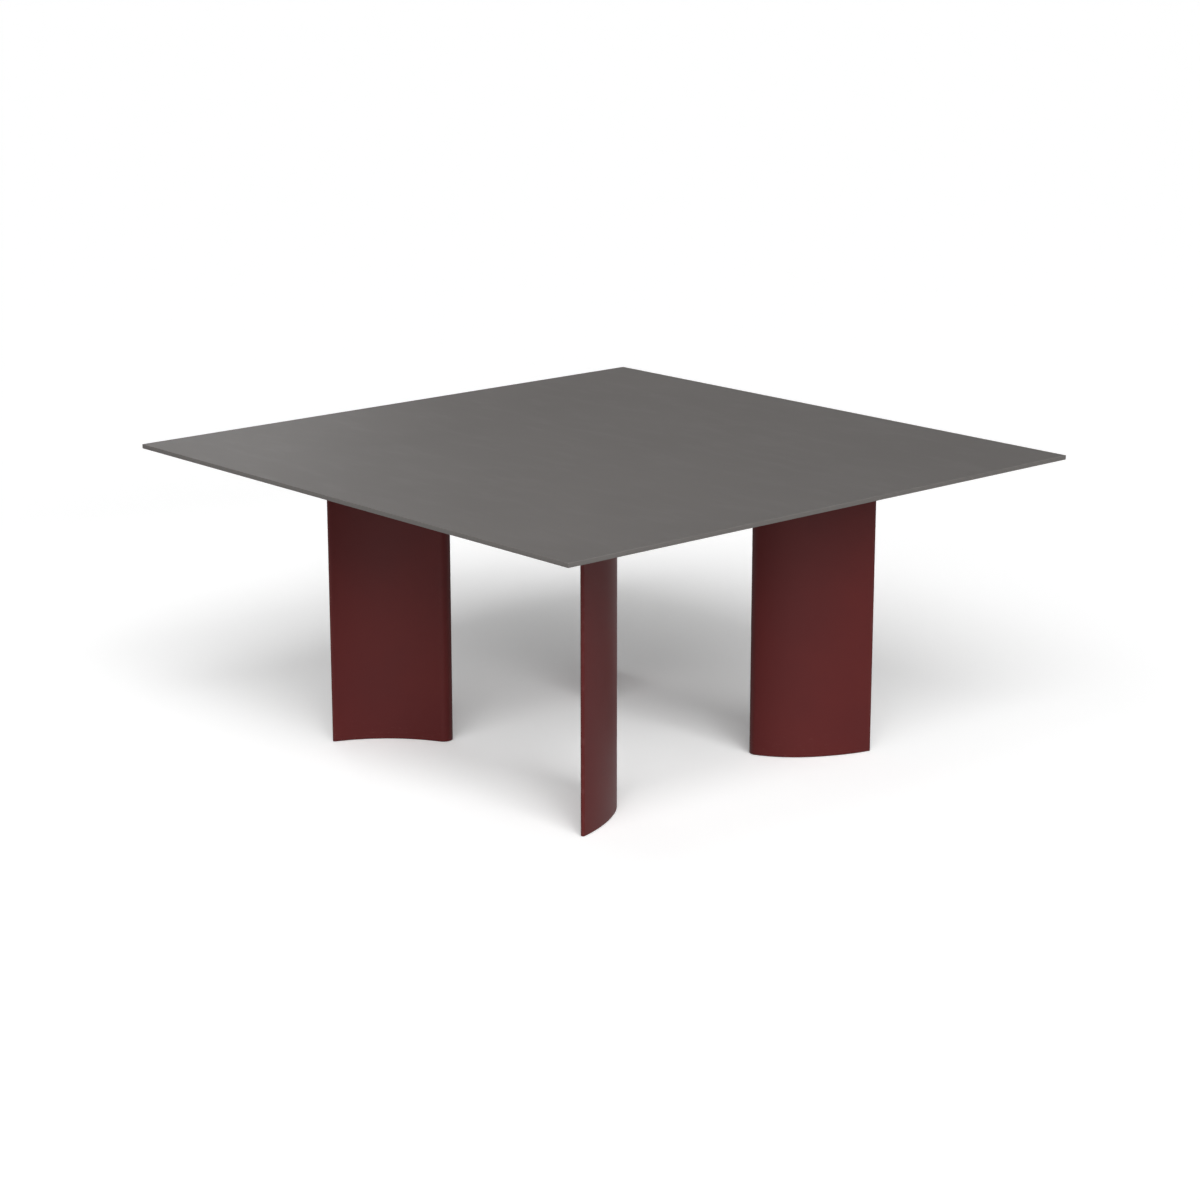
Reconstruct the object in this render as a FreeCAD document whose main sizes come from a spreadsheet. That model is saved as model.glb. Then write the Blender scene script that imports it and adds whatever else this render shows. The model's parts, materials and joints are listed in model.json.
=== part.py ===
import FreeCAD, Part
import Sketcher
import math
import os

from FreeCAD import Placement, Rotation, Vector

# Square dining table: a thin square top on a frame of steel tube, carried by four wing-section legs.
# The origin is the middle of the floor under the table, +Z is up and the front is -Y.
# The legs stand as mirror images about both centre lines, so one quarter of the table is worked out,
# the rear right one (+X, +Y), and the other three are its reflections.

# Driving sizes in millimetres and degrees, each written once and kept in the sheet under its name
SIZES = {
    # Whole table and its top
    "TableHeight": 761,
    "TopSide": 1600,
    "TopThickness": 10.6,
    "TopEdgeEase": 0.5,
    # Place of a leg: the centre of its nose from two sides of the top, and the turn of its chord
    "NoseToSideX": 496.6,
    "NoseToSideY": 540.6,
    "LegTurnAngle": 51.5,
    # Wing section, from the centre of its nose to the centre of its tail
    "LegChord": 274.7,
    "OuterFrontAngle": 63.9,
    # Sheet of the leg and the ribs inside it
    "LegWall": 2,
    "InsideFit": 0.25,
    "RibThickness": 3,
    "LegFloorGap": 1.5,
    # Head plate on a leg, with its flange on the hollow side
    "HeadPlateThickness": 8,
    "BoltToFlangeEdge": 15.2,
    # Foot plate inside a leg, and the levelling feet in it
    "FootPlateThickness": 8,
    "StudRadius": 4,
    "StudLength": 40,
    "PadRadius": 10,
    "PadHeight": 6,
    # Frame of rectangular tube under the top
    "RailWidth": 50,
    "RailDepth": 25,
    "RailWall": 2,
    "RailCornerEase": 1.5,
    "RailSetback": 150,
    "CapFlange": 3,
    "CapPlug": 14,
    "CapFit": 0.2,
    # Tabs on the rails, and the screws through them that hold the top
    "TabReach": 28,
    "TabWidth": 34,
    "TabThickness": 4,
    "RailEndToTab": 45,
    "TopScrewRadius": 3,
    "TopScrewHeadRadius": 5.8,
    "TopScrewHeadHeight": 4,
    "TopScrewGrip": 7,
    "TopScrewSpare": 0.5,
    # Bolts that hold the legs to the frame, and the rivet nuts that take them
    "LegBoltRadius": 4,
    "LegBoltGrip": 12,
    "LegBoltHeadRadius": 7.5,
    "LegBoltHeadHeight": 5.3,
    "LegBoltToCorner": 48,
    "LegBoltSpacing": 40,
    "RivetNutRadius": 6.5,
    "RivetNutLength": 15,
    # Clearances shared by the holes, and how far every cut runs past what it cuts
    "ThreadFit": 0.05,
    "HoleFit": 0.4,
    "Overrun": 5,
}

# Wing section: the radii of its arcs as shares of the chord. There is a thick nose, two arcs
# outside, a thin tail and one arc on the hollow side.
NOSE_RADIUS_SHARE = 0.0834
OUTER_FRONT_SHARE = 0.9024
OUTER_REAR_SHARE = 1.621
TAIL_RADIUS_SHARE = 0.0186
INNER_SHARE = 1.2963

# Shares of the chord, from the nose, at which the feet and ribs stand, the rails cross and the
# flange of the head plate starts and ends
NOSE_FOOT_SHARE = 0.06
TAIL_FOOT_SHARE = 0.58
FRONT_RIB_SHARE = 0.29
REAR_RIB_SHARE = 0.76
LONG_RAIL_SHARE = 0.43
CROSS_RAIL_SHARE = 0.52
FLANGE_START_SHARE = 0.182
FLANGE_END_SHARE = 0.786

# Share of the way out to a long rail at which the inner tabs of the middle line stand
MIDDLE_TAB_SHARE = 0.455

RIGHT_ANGLE = 90

# Round shanks and bores of the fasteners have few faces, and so have the pads of the feet
ROUND_SIDES = 12
PAD_SIDES = 24
HEXAGON = 6

QUARTERS = {
    "rear_right": (1, 1),
    "rear_left": (-1, 1),
    "front_right": (1, -1),
    "front_left": (-1, -1),
}

doc = FreeCAD.newDocument("square_dining_table")
parts = []


class Size:
    """A number together with the rule that binds it to the sheet."""

    def __init__(self, value, rule):
        self.value = value
        self.rule = rule

    def __add__(self, other):
        return Size(self.value + value_of(other), f"({self.rule} + {rule_of(other)})")

    def __sub__(self, other):
        return Size(self.value - value_of(other), f"({self.rule} - {rule_of(other)})")

    def __rsub__(self, other):
        return Size(value_of(other) - self.value, f"({rule_of(other)} - {self.rule})")

    def __mul__(self, other):
        return Size(self.value * value_of(other), f"({self.rule} * {rule_of(other)})")

    def __truediv__(self, other):
        return Size(self.value / value_of(other), f"({self.rule} / {rule_of(other)})")

    def __neg__(self):
        return Size(-self.value, f"(0 - {self.rule})")

    __radd__ = __add__
    __rmul__ = __mul__


def value_of(size):
    return size.value if isinstance(size, Size) else size


def rule_of(size):
    return size.rule if isinstance(size, Size) else str(size)


def root(size):
    return Size(math.sqrt(size.value), f"sqrt({size.rule})")


def cosine(turn):
    return Size(math.cos(math.radians(turn.value)), f"cos({turn.rule})")


def sine(turn):
    return Size(math.sin(math.radians(turn.value)), f"sin({turn.rule})")


# The sheet of driving sizes, and a set that keeps the worked-out places under their own names
sheet = doc.addObject("Spreadsheet::Sheet", "Sizes")
for row, (name, number) in enumerate(SIZES.items(), start=1):
    sheet.set(f"A{row}", name)
    sheet.set(f"B{row}", str(number))
    sheet.setAlias(f"B{row}", name)
places = doc.addObject("App::VarSet", "Places")
doc.recompute()


def sized(name):
    return Size(SIZES[name], f"Sizes.{name}")


def kept(name, size):
    """Keep a worked-out size in the document under a name, and return it with that short rule."""
    places.addProperty("App::PropertyFloat", name)
    places.setExpression(name, size.rule)
    return Size(size.value, f"Places.{name}")


# Levels, from the top down to the floor
top_underside = kept("TopUnderside", sized("TableHeight") - sized("TopThickness"))
rail_bottom = kept("RailBottom", top_underside - sized("RailDepth"))
leg_top = kept("LegTop", rail_bottom - sized("HeadPlateThickness"))
foot_plate_top = kept("FootPlateTop", sized("PadHeight") + sized("FootPlateThickness"))

# The leg's own frame: x runs along the chord from the nose, y points to the hollow side
nose_x = kept("LegNoseX", sized("TopSide") / 2 - sized("NoseToSideX"))
nose_y = kept("LegNoseY", sized("TopSide") / 2 - sized("NoseToSideY"))
turn_cosine = kept("TurnCosine", cosine(sized("LegTurnAngle")))
turn_sine = kept("TurnSine", sine(sized("LegTurnAngle")))


def from_leg(x, y):
    """A point of the leg's own frame, in the frame of the table."""
    return (
        nose_x + x * turn_cosine - y * turn_sine,
        nose_y + x * turn_sine + y * turn_cosine,
    )


def meeting(first, first_reach, second, second_reach):
    """The point at two given distances from two centres, to the left of the line between them."""
    run_x = second[0] - first[0]
    run_y = second[1] - first[1]
    between = root(run_x * run_x + run_y * run_y)
    along = (first_reach * first_reach - second_reach * second_reach + between * between) / (between * 2)
    aside = root(first_reach * first_reach - along * along)
    return (
        first[0] + (along * run_x - aside * run_y) / between,
        first[1] + (along * run_y + aside * run_x) / between,
    )


# Radii and centres of the arcs of the wing section. Each arc is tangent to the next.
nose_radius = kept("NoseRadius", sized("LegChord") * NOSE_RADIUS_SHARE)
front_radius = kept("OuterFrontRadius", sized("LegChord") * OUTER_FRONT_SHARE)
rear_radius = kept("OuterRearRadius", sized("LegChord") * OUTER_REAR_SHARE)
tail_radius = kept("TailRadius", sized("LegChord") * TAIL_RADIUS_SHARE)
inner_radius = kept("InnerRadius", sized("LegChord") * INNER_SHARE)
zero = Size(0, "0")
nose_centre = (zero, zero)
tail_centre = (sized("LegChord"), zero)
front_reach = front_radius - nose_radius
front_centre = (
    kept("FrontCentreX", front_reach * cosine(sized("OuterFrontAngle"))),
    kept("FrontCentreY", front_reach * sine(sized("OuterFrontAngle"))),
)
rear_point = meeting(front_centre, rear_radius - front_radius, tail_centre, rear_radius - tail_radius)
rear_centre = (kept("RearCentreX", rear_point[0]), kept("RearCentreY", rear_point[1]))
inner_point = meeting(nose_centre, inner_radius + nose_radius, tail_centre, inner_radius + tail_radius)
inner_centre = (kept("InnerCentreX", inner_point[0]), kept("InnerCentreY", inner_point[1]))


def below(centre, radius, x):
    """Height of the lower half of a circle at x."""
    off = x - centre[0]
    return centre[1] - root(radius * radius - off * off)


def middle_of_section(name, share):
    """The point halfway between the outside and the hollow side, at a share of the chord."""
    x = kept(name + "X", sized("LegChord") * share)
    lean = (rear_centre[0] - front_centre[0]) / (rear_radius - front_radius)
    change = front_centre[0] - front_radius * lean
    if x.value < change.value:
        outside = below(front_centre, front_radius, x)
    else:
        outside = below(rear_centre, rear_radius, x)
    inside = below(inner_centre, inner_radius, x)
    return x, kept(name + "Y", (outside + inside) / 2)


nose_foot = middle_of_section("NoseFoot", NOSE_FOOT_SHARE)
tail_foot = middle_of_section("TailFoot", TAIL_FOOT_SHARE)
foot_places = {"nose": from_leg(*nose_foot), "tail": from_leg(*tail_foot)}

# Lines of the frame: the long rails run along X, the cross rails and outriggers along Y
rail_x = kept("RailX", nose_x + sized("LegChord") * CROSS_RAIL_SHARE * turn_cosine)
rail_y = kept("RailY", nose_y + sized("LegChord") * LONG_RAIL_SHARE * turn_sine)
rail_end = kept("RailEnd", sized("TopSide") / 2 - sized("RailSetback"))
long_rail_edge = kept("LongRailEdge", rail_y + sized("RailWidth") / 2)
cross_length = kept("CrossLength", rail_y * 2 - sized("RailWidth"))
outrigger_length = kept("OutriggerLength", rail_end - long_rail_edge)
outrigger_y = kept("OutriggerY", long_rail_edge + outrigger_length / 2)
bolt_near = sized("LegBoltToCorner")
bolt_far = sized("LegBoltToCorner") + sized("LegBoltSpacing")
bolt_places = [
    (rail_x - bolt_far, rail_y),
    (rail_x - bolt_near, rail_y),
    (rail_x, rail_y + bolt_near),
]
bolt_reach = (rail_y - nose_y) * turn_cosine - (rail_x - bolt_far - nose_x) * turn_sine
flange_reach = kept("FlangeReach", bolt_reach + sized("BoltToFlangeEdge"))

# Places of the tabs, each a point of its screw hole and the turn that puts its root against a rail
tab_off = sized("RailWidth") / 2 + sized("TabReach") / 2
tab_end = kept("TabEnd", rail_end - sized("RailEndToTab"))
tabs = []
for way_x in (-1, 1):
    for way_y in (-1, 1):
        tabs.append((tab_end * way_x, (rail_y - tab_off) * way_y, RIGHT_ANGLE * (1 - way_y)))
        tabs.append(((rail_x - tab_off) * way_x, tab_end * way_y, -RIGHT_ANGLE * way_x))
for way_y in (-1, 1):
    tabs.append((tab_off, tab_end * way_y, RIGHT_ANGLE))
    tabs.append((tab_off, rail_y * MIDDLE_TAB_SHARE * way_y, RIGHT_ANGLE))


def bind(thing, name, size):
    thing.setExpression(name, rule_of(size))


def place(thing, x, y, z, turn=None):
    """Bind the place of an object, and its turn about Z if it has one."""
    for axis, size in zip("xyz", (x, y, z)):
        if isinstance(size, Size):
            bind(thing, f"Placement.Base.{axis}", size)
    if turn is not None:
        bind(thing, "Placement.Rotation.Angle", turn)


def hand_in(thing, label):
    thing.Label = label
    parts.append(thing)
    return thing


# Sketch helpers. A plain 0 puts a point on the sketch's axis.


def constrain(sketch, *facts, size=None):
    number = sketch.addConstraint(Sketcher.Constraint(*facts))
    if size is not None:
        bind(sketch, f"Constraints[{number}]", size)


def set_point(sketch, geometry, end, x=None, y=None):
    for size, kind, axis in ((x, "DistanceX", -2), (y, "DistanceY", -1)):
        if isinstance(size, Size):
            constrain(sketch, kind, -1, 1, geometry, end, size.value, size=size)
        elif size is not None:
            constrain(sketch, "PointOnObject", geometry, end, axis)


def add_rectangle(sketch, half_width, half_height):
    """A rectangle about the sketch's origin."""
    across = half_width.value
    up = half_height.value
    corners = [Vector(-across, -up), Vector(across, -up), Vector(across, up), Vector(-across, up)]
    first = len(sketch.Geometry)
    for index, corner in enumerate(corners):
        sketch.addGeometry(Part.LineSegment(corner, corners[(index + 1) % len(corners)]))
    for index in range(len(corners)):
        following = first + (index + 1) % len(corners)
        constrain(sketch, "Coincident", first + index, 2, following, 1)
        constrain(sketch, "Vertical" if index % 2 else "Horizontal", first + index)
    set_point(sketch, first, 1, -half_width, -half_height)
    set_point(sketch, first + 2, 1, half_width, half_height)


def body_sketch(body, role, name):
    sketch = body.newObject("Sketcher::SketchObject", name)
    plane = next(datum for datum in body.Origin.OriginFeatures if datum.Role == role)
    sketch.AttachmentSupport = [(plane, "")]
    sketch.MapMode = "FlatFace"
    return sketch


def unit(start, end):
    run = Vector(end[0].value - start[0].value, end[1].value - start[1].value, 0)
    return run.normalize()


def wing_sketch(name, inset, bottom, flanged=False):
    """The wing section moved inwards by inset, at a level, as tangent arcs.

    Nose, two outer arcs and tail follow each other. The hollow side is one arc, or with a flange
    the straight edges of a plate which fills the hollow and reaches past it."""
    sketch = doc.addObject("Sketcher::SketchObject", name)
    place(sketch, nose_x, nose_y, bottom, sized("LegTurnAngle"))
    to_inner = unit(nose_centre, inner_centre)
    to_hollow = unit(tail_centre, inner_centre)
    from_front = unit(front_centre, nose_centre)
    from_rear = unit(rear_centre, front_centre)
    to_tail = unit(rear_centre, tail_centre)
    nose_start = Vector(0, 1, 0) if flanged else to_inner
    tail_end = Vector(0, 1, 0) if flanged else to_hollow
    arcs = [
        (nose_centre, nose_radius - inset, nose_start, from_front),
        (front_centre, front_radius - inset, from_front, from_rear),
        (rear_centre, rear_radius - inset, from_rear, to_tail),
        (tail_centre, tail_radius - inset, to_tail, tail_end),
    ]
    if not flanged:
        arcs.append((inner_centre, inner_radius + inset, to_inner * -1, to_hollow * -1))
    for centre, radius, start, end in arcs:
        circle = Part.Circle(Vector(centre[0].value, centre[1].value, 0), Vector(0, 0, 1), radius.value)
        begin = math.atan2(start.y, start.x)
        finish = math.atan2(end.y, end.x)
        if finish < begin:
            finish += math.tau
        sketch.addGeometry(Part.ArcOfCircle(circle, begin, finish))
    nose, front, rear, tail, hollow = range(5)
    constrain(sketch, "Tangent", nose, 2, front, 1)
    constrain(sketch, "Tangent", front, 2, rear, 1)
    constrain(sketch, "Tangent", rear, 2, tail, 1)
    if flanged:
        add_flange(sketch, nose, tail)
    else:
        constrain(sketch, "Tangent", tail, 2, hollow, 2)
        constrain(sketch, "Tangent", hollow, 1, nose, 1)
    for number, (centre, radius, start, end) in enumerate(arcs):
        constrain(sketch, "Radius", number, radius.value, size=radius)
    constrain(sketch, "Coincident", nose, 3, -1, 1)
    set_point(sketch, tail, 3, sized("LegChord"), 0)
    set_point(sketch, front, 3, front_centre[0])
    return sketch


def add_flange(sketch, nose, tail):
    """Three straight edges from the top of the nose round the flange to the top of the tail."""
    flange_start = sized("LegChord") * FLANGE_START_SHARE
    flange_end = sized("LegChord") * FLANGE_END_SHARE
    corners = [
        Vector(0, nose_radius.value),
        Vector(flange_start.value, flange_reach.value),
        Vector(flange_end.value, flange_reach.value),
        Vector(sized("LegChord").value, tail_radius.value),
    ]
    edges = [sketch.addGeometry(Part.LineSegment(*ends)) for ends in zip(corners, corners[1:])]
    constrain(sketch, "Coincident", nose, 1, edges[0], 1)
    constrain(sketch, "Coincident", edges[0], 2, edges[1], 1)
    constrain(sketch, "Coincident", edges[1], 2, edges[2], 1)
    constrain(sketch, "Coincident", edges[2], 2, tail, 2)
    set_point(sketch, edges[0], 1, 0)
    set_point(sketch, edges[0], 2, flange_start, flange_reach)
    set_point(sketch, edges[1], 2, flange_end, flange_reach)
    constrain(sketch, "Vertical", tail, 2, tail, 3)


# Solid helpers


def extrusion(name, sketch, height):
    solid = doc.addObject("Part::Extrusion", name)
    solid.Base = sketch
    solid.DirMode = "Normal"
    solid.Solid = True
    bind(solid, "LengthFwd", height)
    return solid


def prism(name, radius, height, x, y, bottom, sides=ROUND_SIDES):
    solid = doc.addObject("Part::Prism", name)
    solid.Polygon = sides
    bind(solid, "Circumradius", radius)
    bind(solid, "Height", height)
    place(solid, x, y, bottom)
    return solid


def block(name, lengths, corner, turn=None):
    solid = doc.addObject("Part::Box", name)
    for side, length in zip(("Length", "Width", "Height"), lengths):
        bind(solid, side, length)
    place(solid, *corner, turn)
    return solid


def fused(name, solids):
    joined = doc.addObject("Part::MultiFuse", name)
    joined.Shapes = solids
    return joined


def cut(name, base, tools):
    result = doc.addObject("Part::Cut", name)
    result.Base = base
    result.Tool = fused(name + "_tools", tools) if len(tools) > 1 else tools[0]
    return result


def reflected(name, source, normal):
    mirror = doc.addObject("Part::Mirroring", name)
    mirror.Source = source
    mirror.Normal = normal
    return mirror


def in_four_quarters(source, label, ending=""):
    """Hand in a piece of the rear right quarter and its reflections in the other three."""
    hand_in(source, f"{label}_rear_right{ending}")
    left = hand_in(reflected(label + "_mirror", source, Vector(1, 0, 0)), f"{label}_rear_left{ending}")
    for piece, side in ((source, "right"), (left, "left")):
        mirror = reflected(label + "_mirror", piece, Vector(0, 1, 0))
        hand_in(mirror, f"{label}_front_{side}{ending}")


def four_signs(points):
    """Each point of the rear right quarter with its reflections, as plain numbers, none twice."""
    spread = []
    for x, y in points:
        for sign_x, sign_y in QUARTERS.values():
            point = (value_of(x) * sign_x, value_of(y) * sign_y)
            if point not in spread:
                spread.append(point)
    return spread


def group(label, source, spots):
    """Identical small pieces in one node: copies of a source, each with its own place."""
    doc.recompute()
    copies = []
    for spot in spots:
        copy = source.Shape.copy()
        copy.Placement = spot.multiply(copy.Placement)
        copies.append(copy)
    node = doc.addObject("Part::Feature", label)
    node.Shape = Part.makeCompound(copies)
    return hand_in(node, label)


def level_spots(points, level):
    return [Placement(Vector(x, y, level.value), Rotation()) for x, y in points]


# Table top


def make_top():
    """One board with all its edges eased, and a blind tapped hole in the underside over each tab."""
    body = doc.addObject("PartDesign::Body", "top_body")
    half_side = sized("TopSide") / 2
    square = body_sketch(body, "XY_Plane", "top_square")
    add_rectangle(square, half_side, half_side)
    board = body.newObject("PartDesign::Pad", "top_board")
    board.Profile = square
    bind(board, "Length", sized("TopThickness"))
    doc.recompute()
    eased = body.newObject("PartDesign::Chamfer", "top_eased")
    eased.Base = (board, [f"Edge{number + 1}" for number in range(len(board.Shape.Edges))])
    bind(eased, "Size", sized("TopEdgeEase"))
    doc.recompute()
    place(body, 0, 0, top_underside)
    over = sized("Overrun")
    radius = sized("TopScrewRadius") + sized("ThreadFit")
    height = sized("TopScrewGrip") + sized("TopScrewSpare") + over
    holes = [prism("top_hole", radius, height, x, y, top_underside - over) for x, y, turn in tabs]
    return hand_in(cut("top_form", body, holes), "table_top")


# Frame of rectangular tube


def make_rail(label, length, x, y, along_y=False, nuts=()):
    """A length of rectangular tube about its own middle, its lower wall holed for rivet nuts."""
    body = doc.addObject("PartDesign::Body", label + "_body")
    profile = body_sketch(body, "YZ_Plane", label + "_profile")
    half_width = sized("RailWidth") / 2
    half_depth = sized("RailDepth") / 2
    add_rectangle(profile, half_width, half_depth)
    add_rectangle(profile, half_width - sized("RailWall"), half_depth - sized("RailWall"))
    tube = body.newObject("PartDesign::Pad", label + "_tube")
    tube.Profile = profile
    tube.SideType = "Symmetric"
    bind(tube, "Length", length)
    doc.recompute()
    eased = body.newObject("PartDesign::Chamfer", label + "_eased")
    eased.Base = (tube, outer_edges(tube.Shape))
    bind(eased, "Size", sized("RailCornerEase"))
    doc.recompute()
    rail = body
    if nuts:
        radius = sized("RivetNutRadius") + sized("ThreadFit")
        bottom = -half_depth - sized("Overrun")
        height = half_depth + sized("Overrun")
        holes = [prism("nut_hole", radius, height, spot, 0, bottom, sides=HEXAGON) for spot in nuts]
        rail = cut(label + "_form", body, holes)
    place(rail, x, y, rail_bottom + half_depth)
    if along_y:
        rail.Placement.Rotation = Rotation(Vector(0, 0, 1), RIGHT_ANGLE)
    return hand_in(rail, label)


def outer_edges(shape):
    """Names of the four long edges of the tube's outside."""
    box = shape.BoundBox
    names = []
    for number, edge in enumerate(shape.Edges, start=1):
        middle = edge.BoundBox.Center
        at_side = abs(abs(middle.y) - box.YMax) < Part.Precision.confusion()
        at_level = abs(abs(middle.z) - box.ZMax) < Part.Precision.confusion()
        if at_side and at_level:
            names.append(f"Edge{number}")
    return names


def make_frame():
    """Two long rails, and on three lines across them a cross rail between and an outrigger each side."""
    for side, sign in (("front", -1), ("rear", 1)):
        bolts = [(rail_x - off) * way for off in (bolt_near, bolt_far) for way in (-1, 1)]
        make_rail(f"long_rail_{side}", rail_end * 2, 0, rail_y * sign, nuts=bolts)
    for name, way in (("left", -1), ("centre", 0), ("right", 1)):
        x = rail_x * way if way else 0
        make_rail(f"cross_rail_{name}", cross_length, x, 0, along_y=True)
        for side, sign in (("front", -1), ("rear", 1)):
            bolts = [(rail_y + bolt_near - outrigger_y) * sign] if way else []
            y = outrigger_y * sign
            make_rail(f"outrigger_{side}_{name}", outrigger_length, x, y, along_y=True, nuts=bolts)
    make_end_caps()
    make_tabs()


def make_end_caps():
    """A cap has a flange as large as the tube's end, and a plug that fits inside it."""
    width = sized("RailWidth")
    depth = sized("RailDepth")
    rim = sized("RailWall") + sized("CapFit")
    flange = block("cap_flange", (sized("CapFlange"), width, depth), (0, -width / 2, -depth / 2))
    plug_lengths = (sized("CapPlug"), width - rim * 2, depth - rim * 2)
    plug = block("cap_plug", plug_lengths, (-sized("CapPlug"), rim - width / 2, rim - depth / 2))
    cap = fused("cap_form", [flange, plug])
    spots = []
    level = (rail_bottom + depth / 2).value
    for sign_x, sign_y in QUARTERS.values():
        outwards = Rotation(Vector(0, 0, 1), RIGHT_ANGLE * (1 - sign_x))
        spots.append(Placement(Vector(rail_end.value * sign_x, rail_y.value * sign_y, level), outwards))
    for sign_y in (-1, 1):
        for x in (-rail_x.value, 0, rail_x.value):
            outwards = Rotation(Vector(0, 0, 1), RIGHT_ANGLE * sign_y)
            spots.append(Placement(Vector(x, rail_end.value * sign_y, level), outwards))
    group("rail_end_caps", cap, spots)


def make_tabs():
    """Flat steel tabs welded to the rails level with their top, each holed for a screw."""
    lengths = (sized("TabWidth"), sized("TabReach"), sized("TabThickness"))
    plate = block("tab_plate", lengths, (-sized("TabWidth") / 2, -sized("TabReach") / 2, 0))
    over = sized("Overrun")
    radius = sized("TopScrewRadius") + sized("HoleFit")
    hole = prism("tab_hole", radius, sized("TabThickness") + over * 2, 0, 0, -over)
    level = (top_underside - sized("TabThickness")).value
    spots = []
    for x, y, turn in tabs:
        spots.append(Placement(Vector(x.value, y.value, level), Rotation(Vector(0, 0, 1), turn)))
    group("top_fixing_tabs", cut("tab_form", plate, [hole]), spots)


# Legs


def make_leg():
    """A sheet-metal skin rolled to the wing section, with two ribs across the inside."""
    bottom = sized("LegFloorGap")
    over = sized("Overrun")
    full = extrusion("leg_outside", wing_sketch("leg_outline", zero, bottom), leg_top - bottom)
    core_outline = wing_sketch("leg_core_outline", sized("LegWall"), bottom - over)
    core = extrusion("leg_core", core_outline, leg_top - bottom + over * 2)
    in_four_quarters(cut("leg_skin_form", full, [core]), "leg_skin")
    inset = sized("LegWall") + sized("InsideFit")
    inside = extrusion("leg_inside", wing_sketch("leg_inside_outline", inset, bottom), leg_top)
    for end, share in (("nose", FRONT_RIB_SHARE), ("tail", REAR_RIB_SHARE)):
        make_rib(end, share, inside)


def make_rib(end, share, inside):
    """A flat strip across the inside of the leg, from the foot plate up to the head plate."""
    thickness = sized("RibThickness")
    start = from_leg(sized("LegChord") * share - thickness / 2, -sized("LegChord"))
    lengths = (thickness, sized("LegChord") * 2, leg_top - foot_plate_top)
    strip = block("rib_strip", lengths, (*start, foot_plate_top), sized("LegTurnAngle"))
    rib = doc.addObject("Part::MultiCommon", "leg_rib_form")
    rib.Shapes = [inside, strip]
    in_four_quarters(rib, "leg_rib", f"_{end}")


def make_head_plate():
    """A steel plate as wide as the leg, whose flange fills the hollow and takes the leg bolts."""
    over = sized("Overrun")
    thickness = sized("HeadPlateThickness")
    outline = wing_sketch("head_plate_outline", zero, leg_top, flanged=True)
    blank = extrusion("head_plate_blank", outline, thickness)
    radius = sized("LegBoltRadius") + sized("HoleFit")
    height = thickness + over * 2
    holes = [prism("leg_bolt_hole", radius, height, x, y, leg_top - over) for x, y in bolt_places]
    in_four_quarters(cut("head_plate_form", blank, holes), "head_plate")


def make_foot_plate():
    """A plate that fits inside the skin at the foot, tapped for the studs of the feet."""
    over = sized("Overrun")
    bottom = sized("PadHeight")
    thickness = sized("FootPlateThickness")
    outline = wing_sketch("foot_plate_outline", sized("LegWall") + sized("InsideFit"), bottom)
    blank = extrusion("foot_plate_blank", outline, thickness)
    radius = sized("StudRadius") + sized("ThreadFit")
    height = thickness + over * 2
    holes = [prism("stud_hole", radius, height, x, y, bottom - over) for x, y in foot_places.values()]
    in_four_quarters(cut("foot_plate_form", blank, holes), "foot_plate")


def make_levelling_feet():
    """Two feet to a leg: a threaded stud through the foot plate, and a pad under it.

    A foot stands screwed fully home, with the pad against the foot plate."""
    for end, (x, y) in foot_places.items():
        stud = prism("stud_form", sized("StudRadius"), sized("StudLength"), x, y, sized("PadHeight"))
        in_four_quarters(stud, "foot_stud", f"_{end}")
        pad = prism("pad_form", sized("PadRadius"), sized("PadHeight"), x, y, 0, sides=PAD_SIDES)
        in_four_quarters(pad, "foot_pad", f"_{end}")


# Fasteners, each kind worked out once about its own axis and then set in its places


def make_bolt(name, radius, length, head_radius, head_height):
    """A hexagon-head bolt that points up, with the bearing face of its head at 0."""
    head = prism(name + "_head", head_radius, head_height, 0, 0, -head_height, sides=HEXAGON)
    return fused(name, [head, prism(name + "_shank", radius, length, 0, 0, 0)])


def make_fasteners():
    """Screws from the tabs into the top, and bolts from the head plates into nuts in the rails."""
    top_screw = make_bolt(
        "top_screw_form",
        sized("TopScrewRadius"),
        sized("TabThickness") + sized("TopScrewGrip"),
        sized("TopScrewHeadRadius"),
        sized("TopScrewHeadHeight"),
    )
    points = [(x.value, y.value) for x, y, turn in tabs]
    group("top_screws", top_screw, level_spots(points, top_underside - sized("TabThickness")))
    leg_bolt = make_bolt(
        "leg_bolt_form",
        sized("LegBoltRadius"),
        sized("HeadPlateThickness") + sized("LegBoltGrip"),
        sized("LegBoltHeadRadius"),
        sized("LegBoltHeadHeight"),
    )
    group("leg_bolts", leg_bolt, level_spots(four_signs(bolt_places), leg_top))
    make_rivet_nuts()


def make_rivet_nuts():
    """Hexagonal nuts flush with the lower wall of the rails, turned with the rail they are in."""
    over = sized("Overrun")
    length = sized("RivetNutLength")
    outside = prism("nut_outside", sized("RivetNutRadius"), length, 0, 0, 0, sides=HEXAGON)
    bore = prism("nut_bore", sized("LegBoltRadius") + sized("ThreadFit"), length + over * 2, 0, 0, -over)
    spots = []
    for x, y in bolt_places:
        turn = RIGHT_ANGLE if x is rail_x else 0
        for spot in level_spots(four_signs([(x, y)]), rail_bottom):
            spots.append(spot.multiply(Placement(Vector(), Rotation(Vector(0, 0, 1), turn))))
    group("rail_rivet_nuts", cut("nut_form", outside, [bore]), spots)


make_top()
make_frame()
make_leg()
make_head_plate()
make_foot_plate()
make_levelling_feet()
make_fasteners()
doc.recompute()

# Every object has to be sound before anything is written
for thing in doc.Objects:
    if "Invalid" in thing.State or "Error" in thing.State:
        raise RuntimeError(f"{thing.Label} failed: {thing.State}")
for part in parts:
    if part.Shape.isNull() or not part.Shape.isValid():
        raise RuntimeError(f"{part.Label} has no valid shape")

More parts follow.
